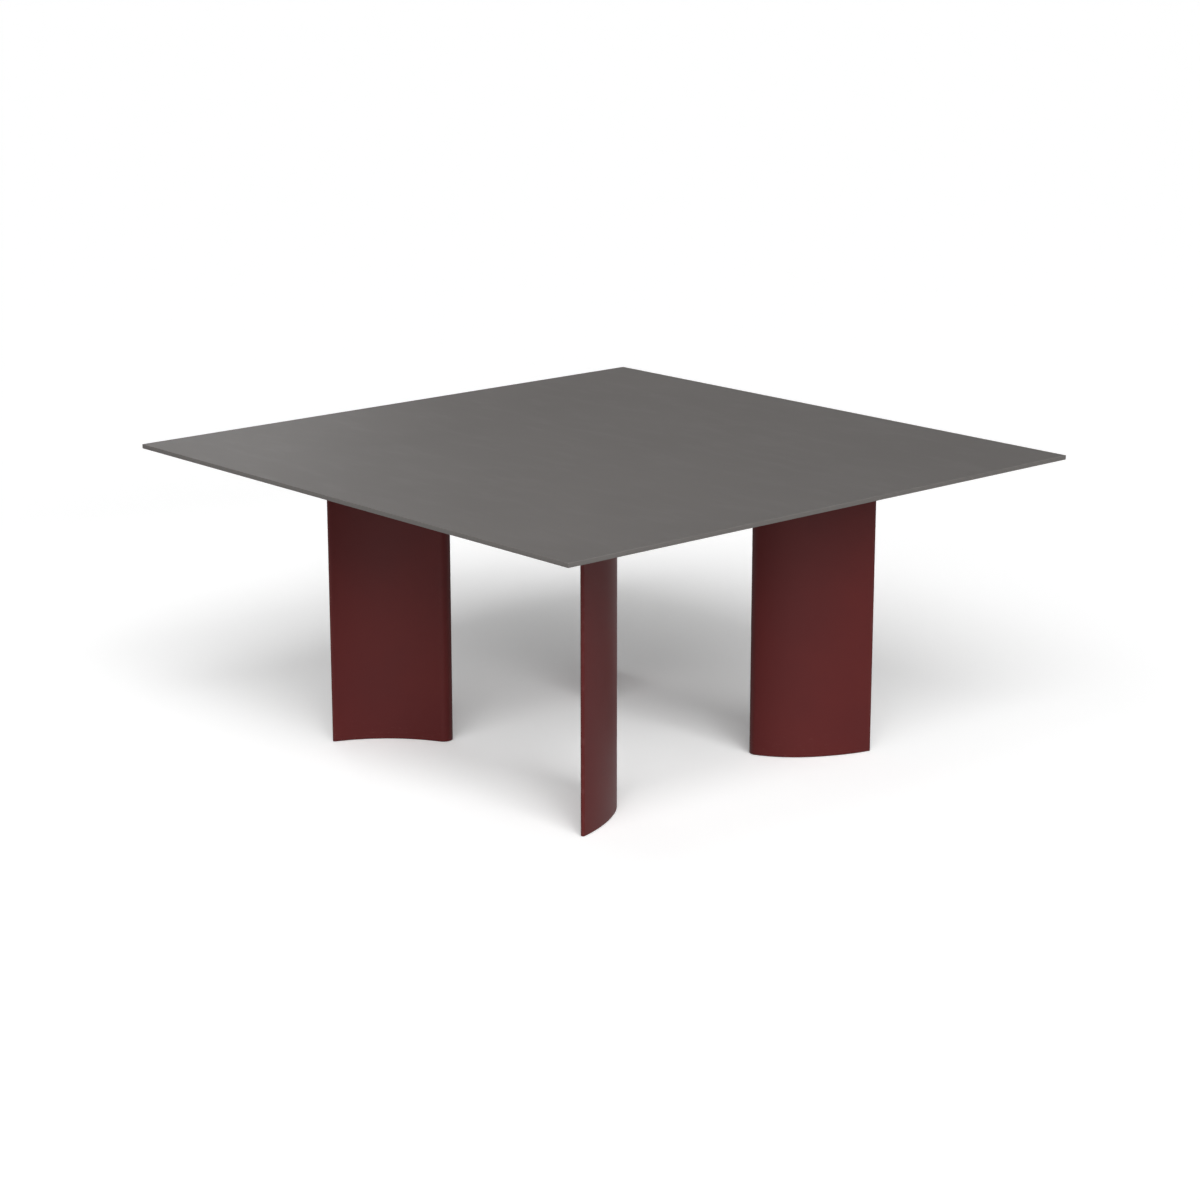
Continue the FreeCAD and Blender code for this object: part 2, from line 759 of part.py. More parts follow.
os.makedirs("parts", exist_ok=True)
for part in parts:
    part.Shape.exportStep(f"parts/{part.Label}.step")
    print(part.Label, len(part.Shape.Solids), round(part.Shape.Volume))
print(len(parts), "nodes")
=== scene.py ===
# %% [markdown]
# # A square dining table on four wing legs
#
# The table has one thin square top, 1600 mm a side, which seems to float on four tall hollow legs.
# Each leg is a sheet of steel rolled to the section of a wing. A frame of steel tube joins them
# under the top, and small levelling feet hide in the foot of each leg.
#
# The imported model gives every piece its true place. This lesson keeps those places and makes each
# visible surface finer: a shape is a function of two parameters, worked out as whole arrays.

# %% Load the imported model
import json
import math

import bmesh
import bpy
import numpy as np
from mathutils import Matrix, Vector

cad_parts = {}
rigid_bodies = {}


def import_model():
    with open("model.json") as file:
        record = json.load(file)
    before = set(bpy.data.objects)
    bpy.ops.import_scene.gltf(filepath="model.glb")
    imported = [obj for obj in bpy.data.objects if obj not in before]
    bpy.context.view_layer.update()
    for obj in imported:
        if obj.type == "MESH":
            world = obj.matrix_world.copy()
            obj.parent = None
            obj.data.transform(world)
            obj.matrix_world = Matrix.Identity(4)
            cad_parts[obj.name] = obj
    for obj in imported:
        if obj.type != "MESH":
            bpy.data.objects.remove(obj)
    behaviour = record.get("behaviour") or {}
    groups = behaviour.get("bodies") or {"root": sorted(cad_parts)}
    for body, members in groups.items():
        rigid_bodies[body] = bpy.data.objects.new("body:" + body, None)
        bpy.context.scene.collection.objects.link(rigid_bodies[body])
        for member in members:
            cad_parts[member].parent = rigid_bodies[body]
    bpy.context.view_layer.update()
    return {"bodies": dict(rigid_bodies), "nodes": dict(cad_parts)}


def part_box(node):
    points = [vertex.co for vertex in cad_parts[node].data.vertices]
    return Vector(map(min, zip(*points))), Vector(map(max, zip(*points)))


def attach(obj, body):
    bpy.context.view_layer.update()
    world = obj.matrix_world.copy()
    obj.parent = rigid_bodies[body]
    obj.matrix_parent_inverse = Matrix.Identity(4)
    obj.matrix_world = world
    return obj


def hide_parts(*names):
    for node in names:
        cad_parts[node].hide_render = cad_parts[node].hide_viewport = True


for leftover in list(bpy.data.objects):
    bpy.data.objects.remove(leftover)
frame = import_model()

# %% [markdown]
# ## The camera
#
# The photograph was taken from above head height, with a long lens and one corner of the top
# nearest. The four corners of a square of known size fix the place, the aim and the lens of the
# camera. A camera in Blender looks along its own -Z, so its aim is written as two angles.

# %% Set the camera
CAMERA_PLACE = (5.1042, -4.5444, 2.2089)
CAMERA_HEADING = 138.32
CAMERA_TILT = -14.979
LENS = 85.6
SENSOR = 36
FARTHEST_SEEN = 300

view = bpy.data.cameras.new("camera")
view.sensor_width = SENSOR
view.lens = LENS
view.clip_end = FARTHEST_SEEN
camera = bpy.data.objects.new("camera", view)
camera.location = CAMERA_PLACE
camera.rotation_euler = (math.radians(90 + CAMERA_TILT), 0, math.radians(CAMERA_HEADING - 90))
bpy.context.scene.collection.objects.link(camera)
bpy.context.scene.camera = camera
bpy.context.scene.view_settings.view_transform = "Standard"
print("the lens sees", round(math.degrees(view.angle), 2), "degrees")

# %% [markdown]
# ## Shader sums as Python
#
# A finish is a sum of small effects: a grain, a cloud of wear, a scuff near the floor. Node by
# node that is long to write. So a socket is wrapped in a class that takes part in Python's own
# arithmetic, and each operator adds the Math node which does it. One more method makes every other
# kind of node.

# %% Wrap a socket
class Signal:
    """A socket of a material's node tree, or with no socket the tree itself."""

    def __init__(self, tree, socket=None):
        self.tree = tree
        self.socket = socket

    def node(self, kind, settings=None, inputs=None, output=0):
        """Add a node: its settings first, then the numbers or signals of its inputs."""
        made = self.tree.nodes.new("ShaderNode" + kind)
        for name, value in (settings or {}).items():
            setattr(made, name, value)
        for name, value in (inputs or {}).items():
            plug(self.tree, made.inputs[name], value)
        return Signal(self.tree, made.outputs[output])

    def math(self, operation, *numbers):
        """A Math node of one operation on numbers or signals."""
        return self.node("Math", {"operation": operation}, dict(enumerate(numbers)))

    def __add__(self, other):
        return self.math("ADD", self, other)

    def __sub__(self, other):
        return self.math("SUBTRACT", self, other)

    def __rsub__(self, other):
        return self.math("SUBTRACT", other, self)

    def __mul__(self, other):
        return self.math("MULTIPLY", self, other)

    def __abs__(self):
        return self.math("ABSOLUTE", self)

    __radd__ = __add__
    __rmul__ = __mul__


def plug(tree, socket, value):
    """Link a signal to a socket, or set a plain number on it."""
    if isinstance(value, Signal):
        tree.links.new(value.socket, socket)
    else:
        socket.default_value = value


trial = bpy.data.node_groups.new("trial", "ShaderNodeTree")
mask = Signal(trial).node("Value")
print("1 - mask adds a node that does", (1 - mask).socket.node.operation)
bpy.data.node_groups.remove(trial)

# %% [markdown]
# ## Words for a finish
#
# A few words are enough for the finishes here: noise of a size in metres, a ramp, the larger of
# two signals, a mix of two colours, the three axes of a place, and a bump. Noise is asked for by
# the size of its lumps, since a maker knows how big a grain is and not how a scale of 500 looks.

# %% Name the words
def noise(place, size, detail=2.0, roughness=0.5):
    """Cloudy noise whose lumps measure about size metres, so its scale is 1 over the size."""
    numbers = {"Vector": place, "Scale": 1 / size, "Detail": detail, "Roughness": roughness}
    return place.node("TexNoise", {}, numbers)


def ramp(signal, low, high, start=0.0, end=1.0):
    """Go smoothly from start to end while the signal goes from low to high."""
    steps = {"Value": signal, 1: low, 2: high, 3: start, 4: end}
    return signal.node("MapRange", {"interpolation_type": "SMOOTHSTEP"}, steps)


def larger(first, second):
    """The larger of two signals."""
    return first.math("MAXIMUM", first, second)


def between(mask, first, second):
    """The first colour where the mask is 0 and the second where it is 1."""
    return mask.node("Mix", {"data_type": "RGBA"}, {0: mask, 6: first, 7: second}, output=2)


def axes(place):
    """The X, Y and Z of a place."""
    split = place.node("SeparateXYZ", {}, {0: place}).socket.node
    return [Signal(place.tree, output) for output in split.outputs]


def bump(height, depth):
    """A surface that rises by depth metres as the height signal goes from 0 to 1."""
    return height.node("Bump", {}, {"Height": height, "Distance": depth})


PEEL_SIZE = 0.0022
print("lumps of", PEEL_SIZE * 1000, "mm need a noise scale of", round(1 / PEEL_SIZE))

# %% [markdown]
# ## Start and finish a material
#
# Every finish reads the object's own coordinates, in metres, so a grain has its true size and
# stays on the piece when the piece moves. Colours are written as on a paint chart, from 0 to 255,
# and turned into the linear light that a shader sums.

# %% Start and finish a material
def start_material(name):
    """A new material, and the object's own coordinates as a signal of its tree."""
    material = bpy.data.materials.new(name)
    material.use_nodes = True
    return material, Signal(material.node_tree).node("TexCoord", output="Object")


def set_shader(material, **inputs):
    """Plug signals or numbers into the material's shader, by the names of its sockets."""
    shader = material.node_tree.nodes["Principled BSDF"]
    for name, value in inputs.items():
        plug(material.node_tree, shader.inputs[name.replace("_", " ")], value)
    return material


def painted(red, green, blue):
    """The share of 255 as linear light: over 12.92 when dark, and to the power of 2.4 above that."""
    share = np.array([red, green, blue]) / 255
    linear = np.where(share <= 0.04045, share / 12.92, ((share + 0.055) / 1.055) ** 2.4)
    return (*linear.tolist(), 1.0)


print("half of 255 is", round(painted(128, 128, 128)[0], 3), "of white in linear light")

# %% [markdown]
# ## The laminate of the top
#
# The top is a solid board of pressed paper and resin. Its face is warm grey and almost flat in
# colour. Near by it shows a fine grain of specks under a millimetre, a soft cloudiness, and faint
# smears where hands and cloths have passed, which change the gloss more than the colour. Its cut
# edge is coloured darker than the face: partly a darker core, partly painted shade for the side
# faces, which take less light. The upper arris is rubbed a little paler. Two lengths tell the face
# from the edge: how far a point is from the side of the top, and how far below the face. The
# darker edge colour comes in over the first 0.8 mm below the face, and only within 0.6 mm of the
# side, so the underside keeps the colour of the face.

# %% Make the laminate
FACE_COLOURS = (painted(92, 89, 87), painted(96, 93, 91))
# The edge colour is a darker core tone, darkened further as painted shade for the side faces.
CORE_AND_SHADE_COLOUR = painted(86, 83, 81)
RUBBED_COLOUR = painted(114, 111, 107)
SPECK_SIZE = 0.0009
CLOUD_SIZE = 0.35
SMEAR_SIZE = 0.16
RUBBED_PATCH_SIZE = 0.03
RUBBED_WIDTH = 0.0016
RUBBED_SHARE = 0.3
WIPING_TURN = (0, 0, 0.6)
WIPING_SQUEEZE = (1, 3, 1)
EDGE_BELOW_FACE = (0.0003, 0.0008)
EDGE_FROM_SIDE = (0.0002, 0.0006)
LAMINATE_GRAIN_DEPTH = 0.00005


def make_laminate(half_side, face_level):
    """Clouds and specks on the face, core tone and painted shade on the edge, arris rubbed in patches.
    """
    material, place = start_material("laminate_warm_grey")
    x, y, z = axes(place)
    specks = noise(place, SPECK_SIZE, detail=1)
    cloud = noise(place, CLOUD_SIZE, detail=4, roughness=0.6)
    wiping = {"Vector": place, "Rotation": WIPING_TURN, "Scale": WIPING_SQUEEZE}
    wiped = noise(place.node("Mapping", {}, wiping), SMEAR_SIZE, detail=5, roughness=0.6)
    smears = ramp(wiped, low=0.45, high=0.75)
    from_side = half_side - larger(abs(x), abs(y))
    below_face = face_level - z
    core_and_shade = ramp(below_face, *EDGE_BELOW_FACE) * ramp(from_side, *EDGE_FROM_SIDE, start=1, end=0)
    near_arris = ramp(larger(from_side, below_face), low=0, high=RUBBED_WIDTH, start=1, end=0)
    patches = ramp(noise(place, RUBBED_PATCH_SIZE, detail=3), low=0.42, high=0.62, start=0.25)
    rubbed = near_arris * patches
    face = between(ramp(cloud * 0.5 + specks * 0.5, low=0.3, high=0.7), *FACE_COLOURS)
    # The cut edge gets the darker colour: a core tone plus painted shade; its roughness is the core's.
    board_colour = between(core_and_shade, face, CORE_AND_SHADE_COLOUR)
    return set_shader(
        material,
        Base_Color=between(rubbed * RUBBED_SHARE, board_colour, RUBBED_COLOUR),
        Roughness=0.55 + specks * 0.06 - smears * 0.04 - rubbed * 0.06 + core_and_shade * 0.1,
        Normal=bump(specks + cloud * 0.2, LAMINATE_GRAIN_DEPTH),
        Specular_IOR_Level=0.25,
    )


low_top, high_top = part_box("table_top")
laminate = make_laminate(high_top.x, high_top.z)
print("laminate for a top", round(high_top.x * 2, 3), "m a side")

# %% [markdown]
# ## The coats of the steel
#
# The legs wear a deep burgundy powder coat, baked on. Such a coat flows into a very shallow
# orange peel, with lumps of one to two millimetres, and shines softly. It is scuffed a little near
# the floor, where shoes and brooms meet it, and it is rubbed paler on its sharpest edges, which an
# attribute of the mesh marks. The frame out of sight has a cheaper coat in anthracite with a sandy
# texture. Inside the legs only a thin mist of the burgundy has landed. All are the same few nodes
# with other numbers.

# %% Scuff a coat
SCUFF_SIZE = 0.012
SCUFF_FLATTENING = (1, 1, 4)
SCUFF_FADE = (0.002, 0.09)
SCUFF_SHARE = 0.4
WORN_PATCH_SIZE = 0.02
WORN_SHARE = 0.18


def scuffs_of(place):
    """Flat streaks that fade with height, plus the worn attribute where a noise lets it through."""
    flattened = place.node("Mapping", {}, {"Vector": place, "Scale": SCUFF_FLATTENING})
    streaks = ramp(noise(flattened, SCUFF_SIZE, detail=6, roughness=0.7), low=0.6, high=0.68)
    height = axes(place)[2]
    near_floor = ramp(height, *SCUFF_FADE, start=1, end=0)
    worn = place.node("Attribute", {"attribute_name": "worn"}, output=2)
    patches = ramp(noise(place, WORN_PATCH_SIZE, detail=4), low=0.5, high=0.7)
    return streaks * near_floor * SCUFF_SHARE + worn * patches * WORN_SHARE


print("scuffs fade out", round(SCUFF_FADE[1] * 1000), "mm above the floor")

# %% Make the powder coats
COAT_GRAIN_SIZE = 0.0005
COAT_CLOUD_SIZE = 0.2
SCUFF_COLOUR = painted(104, 66, 64)
SCUFF_DULLING = 0.25


def make_powder_coat(name, colours, dullness, peel_depth, scuffed=False):
    """Colour by soft clouds, roughness by fine noise, and an orange peel as bump."""
    material, place = start_material(name)
    fine = noise(place, COAT_GRAIN_SIZE, detail=1)
    cloud = noise(place, COAT_CLOUD_SIZE, detail=3)
    colour = between(ramp(cloud, low=0.3, high=0.7), *colours)
    roughness = dullness + fine * 0.08 + cloud * 0.05
    if scuffed:
        scuffs = scuffs_of(place)
        colour = between(scuffs, colour, SCUFF_COLOUR)
        roughness = roughness + scuffs * SCUFF_DULLING
    return set_shader(
        material,
        Base_Color=colour,
        Roughness=roughness,
        Normal=bump(noise(place, PEEL_SIZE, detail=1) + fine * 0.3, peel_depth),
        Specular_IOR_Level=0.18,
    )


BURGUNDIES = (painted(67, 15, 15), painted(71, 17, 16))
ANTHRACITES = (painted(44, 45, 47), painted(52, 53, 55))
MISTS = (painted(70, 30, 29), painted(96, 70, 66))

burgundy = make_powder_coat(
    "powder_coat_burgundy", BURGUNDIES, dullness=0.45, peel_depth=0.00006, scuffed=True
)
anthracite = make_powder_coat(
    "powder_coat_anthracite", ANTHRACITES, dullness=0.55, peel_depth=0.00015
)
thin_coat = make_powder_coat("powder_coat_overspray", MISTS, dullness=0.6, peel_depth=0.0001)
print("coats", burgundy.name, anthracite.name, thin_coat.name)

# %% [markdown]
# ## Zinc, and black plastic
#
# Screws, bolts and studs are zinc plated: metal that is satin rather than bright, with cloudy
# stains of a faint yellow and blue. The pads and end caps are moulded in black plastic, whose mould
# was etched with a fine grain.

# %% Make the zinc
ZINCS = (painted(196, 199, 204), painted(206, 199, 178))
STAIN_SIZE = 0.006
BRUSHED_SIZE = 0.0007
BRUSHED_DEPTH = 0.00002


def make_zinc():
    """Metal whose tint and roughness follow the stains, with a very fine brushed bump."""
    material, place = start_material("zinc_plate")
    stain = noise(place, STAIN_SIZE, detail=4)
    brushed = noise(place, BRUSHED_SIZE, detail=2)
    return set_shader(
        material,
        Base_Color=between(ramp(stain, low=0.35, high=0.65), *ZINCS),
        Metallic=1.0,
        Roughness=0.28 + stain * 0.16 + brushed * 0.08,
        Normal=bump(brushed, BRUSHED_DEPTH),
    )


zinc = make_zinc()
print("fasteners", zinc.name)

# %% Make the black plastic
PLASTICS = (painted(26, 26, 27), painted(44, 44, 44))
ETCHED_SIZE = 0.0006
ETCHED_DEPTH = 0.00006
RUBBED_PLASTIC_SIZE = 0.015


def make_black_plastic():
    """Black that is paler and smoother where it is rubbed, with the etched grain as bump."""
    material, place = start_material("moulded_plastic_black")
    etched = noise(place, ETCHED_SIZE, detail=2)
    rubbed = noise(place, RUBBED_PLASTIC_SIZE, detail=4)
    return set_shader(
        material,
        Base_Color=between(ramp(rubbed, low=0.5, high=0.8), *PLASTICS),
        Roughness=0.5 + etched * 0.14 - rubbed * 0.1,
        Normal=bump(etched, ETCHED_DEPTH),
    )


plastic = make_black_plastic()
print("pads and caps", plastic.name)

# %% [markdown]
# ## Surfaces from two parameters
#
# Most pieces here are one idea: an outline, carried through a list of rows. A row moves the outline
# inwards by some distance and puts it at some level. A wall, its rounded rims, a lid or a lathe
# shape are only other lists of rows. The arrays hold all the rows at once, so no loop runs over
# points.

# %% Carry an outline through rows
def raised(flat, levels):
    """Give each row of a grid of flat points the level of that row."""
    levels = np.broadcast_to(np.asarray(levels)[:, None, None], flat.shape[:2] + (1,))
    return np.concatenate([flat, levels], axis=2)


def carry(outline, normals, rows):
    """Point (row, column) is outline point minus its normal times the row's inset."""
    insets, levels = np.array(rows, float).T
    return raised(outline[None] - normals[None] * insets[:, None, None], levels)


def shrink(outline, rows):
    """Point (row, column) is outline point times the row's share."""
    shares, levels = np.array(rows, float).T
    return raised(outline[None] * shares[:, None, None], levels)


def rim(inset, level, radius, first, last, steps=4):
    """Rows of a quarter circle: inset less radius times cosine, level plus radius times sine."""
    angles = np.radians(np.linspace(first, last, steps))
    return np.stack([inset - radius * np.cos(angles), level + radius * np.sin(angles)], axis=-1).tolist()


def rounded_rectangle(width, depth, radius, steps=5):
    """Four quarter circles about centres set in from the corners by the radius, and the normals."""
    signs = np.array([(1, 1), (-1, 1), (-1, -1), (1, -1)])
    centres = signs * (np.array([width, depth]) / 2 - radius)
    angles = np.linspace(0, math.pi / 2, steps)[None] + np.arange(4)[:, None] * math.pi / 2
    normals = np.stack([np.cos(angles), np.sin(angles)], axis=-1)
    points = centres[:, None] + normals * radius
    return points.reshape(-1, 2), normals.reshape(-1, 2)


card = carry(*rounded_rectangle(width=0.1, depth=0.06, radius=0.005), rim(0.001, 0, 0.001, 90, 0))
print("a card with a rounded rim is a grid of", card.shape[0], "rows and", card.shape[1], "columns")


# %% Join a grid into faces
def net(points, closed_rows=False):
    """Four-cornered faces between neighbours of a grid whose columns close round."""
    rows, columns = points.shape[:2]
    steps = np.arange(rows if closed_rows else rows - 1)
    row, column = np.meshgrid(steps, np.arange(columns), indexing="ij")
    next_row = (row + 1) % rows
    next_column = (column + 1) % columns
    corners = [row * columns + column, row * columns + next_column]
    corners += [next_row * columns + next_column, next_row * columns + column]
    return points.reshape(-1, 3), np.stack(corners, axis=-1).reshape(-1, 4)


def together(nets):
    """Several nets as one: each net's faces count on from the points before it."""
    starts = np.cumsum([0] + [len(points) for points, faces in nets[:-1]])
    points = np.concatenate([points for points, faces in nets])
    return points, np.concatenate([one[1] + start for start, one in zip(starts, nets)])


def moved(points_and_faces, place, turn=0.0):
    """A net turned about Z by an angle in degrees, then moved."""
    points, faces = points_and_faces
    angle = math.radians(turn)
    turned_x = (math.cos(angle), -math.sin(angle), 0)
    turned_y = (math.sin(angle), math.cos(angle), 0)
    return points @ np.array([turned_x, turned_y, (0, 0, 1)]).T + np.array(place), faces


print("its net has", len(net(card)[1]), "faces, and two cards have", len(together([net(card)] * 2)[1]))


# %% Make a piece of a net
SAME_PLACE = 1e-7
NO_LENGTH = 1e-8


def make_piece(name, points_and_faces, material, body, slot, *nodes):
    """A mesh object with closed poles and outward faces, which rides on a body. Points in the same
    place become one, which closes the poles, and faces that shrank to nothing go."""
    points, faces = points_and_faces
    mesh = bpy.data.meshes.new(name)
    mesh.from_pydata(points.tolist(), [], faces.tolist())
    shape = bmesh.new()
    shape.from_mesh(mesh)
    bmesh.ops.remove_doubles(shape, verts=shape.verts, dist=SAME_PLACE)
    bmesh.ops.dissolve_degenerate(shape, dist=NO_LENGTH, edges=shape.edges)
    bmesh.ops.recalc_face_normals(shape, faces=shape.faces)
    shape.to_mesh(mesh)
    shape.free()
    mesh.shade_smooth()
    mesh.materials.append(material)
    piece = bpy.data.objects.new(name, mesh)
    bpy.context.scene.collection.objects.link(piece)
    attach(piece, body)
    if nodes:
        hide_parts(*nodes)
    return piece


def report(piece):
    """Say what a piece measures, in millimetres."""
    sides = [round(side * 1000, 1) for side in piece.dimensions]
    print(piece.name, sides, "mm,", len(piece.data.polygons), "faces")


# %% [markdown]
# ## The top
#
# The top is a thin board with crisp edges. A real edge is never quite sharp: its half millimetre
# of rounding catches a thin line of light. The outline is a square with tiny corner radii. It
# starts as a point in the middle of the face, opens to the rim, rounds over, drops down the edge
# and closes again below.

# %% Make the top
EDGE_EASE = 0.0005
CORNER_RADIUS = 0.0012
MIDWAY = 0.6
NEAR_RIM = 0.995


def top_net(side, underside, face):
    """Shares of the square out to the rim, the eased edge as insets, and the same shares back."""
    outline, normals = rounded_rectangle(side, side, CORNER_RADIUS)
    edge = rim(EDGE_EASE, face - EDGE_EASE, EDGE_EASE, 90, 0)
    edge += rim(EDGE_EASE, underside + EDGE_EASE, EDGE_EASE, 0, -90)
    shares = (0, MIDWAY, NEAR_RIM)
    above = shrink(outline, [(share, face) for share in shares])
    below = shrink(outline, [(share, underside) for share in reversed(shares)])
    return net(np.concatenate([above, carry(outline, normals, edge), below]))


board = top_net(high_top.x * 2, low_top.z, high_top.z)
report(make_piece("tabletop", board, laminate, "table", "top", "table_top"))

# %% [markdown]
# ## The wing legs
#
# A leg's section is five arcs that pass into each other without a corner: a thick nose, two long
# arcs on the outside, a thin tail and one arc on the hollow side. The radii are written as shares
# of the chord, which runs from the centre of the nose to the centre of the tail. Where two arcs are
# tangent their centres lie in line with the point of contact, so the centres follow from the radii.
# The sheet is 2 mm thick, and its wall is one closed band: up the outside, over a rounded rim, down
# the inside and under the foot.

# %% Find the arcs of the wing
CHORD = 0.2747
NOSE, OUTER_FRONT, OUTER_REAR, TAIL, INNER = CHORD * np.array([0.0834, 0.9024, 1.621, 0.0186, 1.2963])
OUTER_ANGLE = math.radians(63.9)
NOSE_PLACE = np.array([0.3034, 0.2594])
CHORD_TURN = math.radians(51.5)


def meeting(first, first_reach, second, second_reach):
    """The point at two given distances from two centres, to the left of the line between them."""
    run = second - first
    gap = np.hypot(*run)
    along = (first_reach**2 - second_reach**2 + gap**2) / (2 * gap)
    aside = math.sqrt(first_reach**2 - along**2)
    return first + (along * run + aside * np.array([-run[1], run[0]])) / gap


nose_centre = np.zeros(2)
tail_centre = np.array([CHORD, 0.0])
front_centre = (OUTER_FRONT - NOSE) * np.array([math.cos(OUTER_ANGLE), math.sin(OUTER_ANGLE)])
rear_centre = meeting(front_centre, OUTER_REAR - OUTER_FRONT, tail_centre, OUTER_REAR - TAIL)
inner_centre = meeting(nose_centre, INNER + NOSE, tail_centre, INNER + TAIL)
for name, centre in (("front", front_centre), ("rear", rear_centre), ("inner", inner_centre)):
    print(name, "arc's centre in mm", np.round(centre * 1000, 1).tolist())


# %% Trace the wing
NOSE_STEPS = 40
FRONT_STEPS = 36
REAR_STEPS = 28
TAIL_STEPS = 24
HOLLOW_STEPS = 44


def heading(start, end):
    """The angle of the way from one point to another."""
    return math.atan2(end[1] - start[1], end[0] - start[0])


def arc(centre, radius, start, end, steps, hollow=False):
    """Centre plus radius times a turning spoke. A hollow arc's normal points to its centre."""
    if not hollow and end < start:
        end += math.tau
    angles = np.linspace(start, end, steps, endpoint=False)
    spokes = np.stack([np.cos(angles), np.sin(angles)], axis=-1)
    return centre + spokes * radius, -spokes if hollow else spokes


def wing_outline():
    """The five arcs in turn, turned to the leg's place at the rear right of the table."""
    nose_to_inner = heading(nose_centre, inner_centre)
    front = heading(front_centre, nose_centre)
    rear = heading(rear_centre, front_centre)
    tail = heading(rear_centre, tail_centre)
    hollow_tail = heading(inner_centre, tail_centre)
    hollow_nose = heading(inner_centre, nose_centre)
    arcs = [
        arc(nose_centre, NOSE, nose_to_inner, front, NOSE_STEPS),
        arc(front_centre, OUTER_FRONT, front, rear, FRONT_STEPS),
        arc(rear_centre, OUTER_REAR, rear, tail, REAR_STEPS),
        arc(tail_centre, TAIL, tail, heading(tail_centre, inner_centre), TAIL_STEPS),
        arc(inner_centre, INNER, hollow_tail, hollow_nose, HOLLOW_STEPS, hollow=True),
    ]
    cosine, sine = math.cos(CHORD_TURN), math.sin(CHORD_TURN)
    turn = np.array([[cosine, sine], [-sine, cosine]])
    points = np.concatenate([points for points, normals in arcs]) @ turn + NOSE_PLACE
    return points, np.concatenate([normals for points, normals in arcs]) @ turn


wing, wing_normals = wing_outline()
low_leg, high_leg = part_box("leg_skin_rear_right")
reach = np.round([wing[:, 0].min(), low_leg.x, wing[:, 0].max(), high_leg.x], 5).tolist()
print("wing of", len(wing), "points, its X and the node's X", reach)


# %% Make the four legs
WALL = 0.002
LEG_EASE = 0.0006
LEG_LEVELS = (0.004, 0.02, 0.06, 0.15, 0.35, 0.55, 0.712)
QUARTERS = {"rear_right": (1, 1), "rear_left": (-1, 1), "front_right": (1, -1), "front_left": (-1, -1)}


def wall_rows(wall, low, high, ease, levels=()):
    """Rows up the outside, over a rounded rim, down the inside and under the foot. Inside, a
    radius below zero turns the quarter circle the other way."""
    rows = rim(ease, low + ease, ease, -90, 0)
    rows += [(0, low + level) for level in levels]
    rows += rim(ease, high - ease, ease, 0, 90)
    rows += rim(wall - ease, high - ease, -ease, -90, 0)
    rows += rim(wall - ease, low + ease, -ease, 0, 90)
    return rows


leg_rows = wall_rows(WALL, low_leg.z, high_leg.z, LEG_EASE, LEG_LEVELS)
leg_points = carry(wing, wing_normals, leg_rows)
for quarter, signs in QUARTERS.items():
    skin = net(leg_points * np.array([*signs, 1]), closed_rows=True)
    report(make_piece("wing_leg_" + quarter, skin, burgundy, "table", "leg", "leg_skin_" + quarter))

# %% [markdown]
# ## Wear on a leg
#
# Where paint rubs thin depends on the shape: on the rim at the foot and on the thin tail. That is
# a number per point, so it is worked out from the points of the finished mesh and kept in it as an
# attribute, which the coat reads by name.

# %% Mark the worn edges
CHORD_WAY = np.array([math.cos(CHORD_TURN), math.sin(CHORD_TURN)])
WORN_FOOT = 0.0012
WORN_TAIL_START = 0.001
WORN_TAIL_FADE = 0.8 * TAIL


def points_of(mesh):
    """The places of a mesh's points as one array."""
    places = np.empty(len(mesh.vertices) * 3)
    mesh.vertices.foreach_get("co", places)
    return places.reshape(-1, 3)


def mark_wear(mesh, signs):
    """1 at the end of the tail and on the foot's rim, falling to 0 along the chord and upwards."""
    points = points_of(mesh)
    from_nose = (points[:, :2] * np.array(signs) - NOSE_PLACE) @ CHORD_WAY
    on_tail = np.clip((from_nose - CHORD + WORN_TAIL_START) / WORN_TAIL_FADE, 0, 1)
    on_foot = np.clip(1 - (points[:, 2] - low_leg.z) / WORN_FOOT, 0, 1)
    worn = np.maximum(on_tail, on_foot)
    mesh.attributes.new("worn", "FLOAT", "POINT").data.foreach_set("value", worn.astype(np.float32))
    return round(float(worn.mean()), 3)


for quarter, signs in QUARTERS.items():
    print("worn share", quarter, mark_wear(bpy.data.objects["wing_leg_" + quarter].data, signs))

# %% [markdown]
# ## The rails
#
# The frame under the top is rectangular steel tube. Rolled tube has rounded corners outside and
# inside, which is the same closed wall as a leg's, from another outline. It is made standing, then
# laid along X or Y where its node is.

# %% Make the rails
TUBE_WALL = 0.002
TUBE_CORNER = 0.0022
TUBE_EASE = 0.0003
NEAR_TUBE_END = 0.002


def laid(points, lengthways):
    """Lay a shape that stands along Z down, along X or along Y."""
    x, y, z = points[..., 0], points[..., 1], points[..., 2]
    return np.stack([z, x, y] if lengthways == "x" else [-x, z, y], axis=-1)


def make_rail(node, lengthways):
    """A closed wall of a rounded rectangle, half its length each side of the middle of its node."""
    low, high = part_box(node)
    size = high - low
    length, width = (size.x, size.y) if lengthways == "x" else (size.y, size.x)
    near_ends = (NEAR_TUBE_END, length - NEAR_TUBE_END)
    rows = wall_rows(TUBE_WALL, -length / 2, length / 2, TUBE_EASE, near_ends)
    standing = carry(*rounded_rectangle(width, size.z, TUBE_CORNER), rows)
    tube = net(laid(standing, lengthways) + np.array((low + high) / 2), closed_rows=True)
    return make_piece("tube_" + node, tube, anthracite, "table", "frame", node)


for node in sorted(frame["nodes"]):
    if node.startswith("long_rail"):
        report(make_rail(node, "x"))
    if node.startswith(("cross_rail", "outrigger")):
        report(make_rail(node, "y"))

# %% [markdown]
# ## The end caps
#
# Each open end of a tube is closed with a moulded cap. Its flange covers the end and is a little
# domed, its plug grips inside. The outline opens from a pole over the dome, rounds over the flange,
# steps in and closes behind the plug.

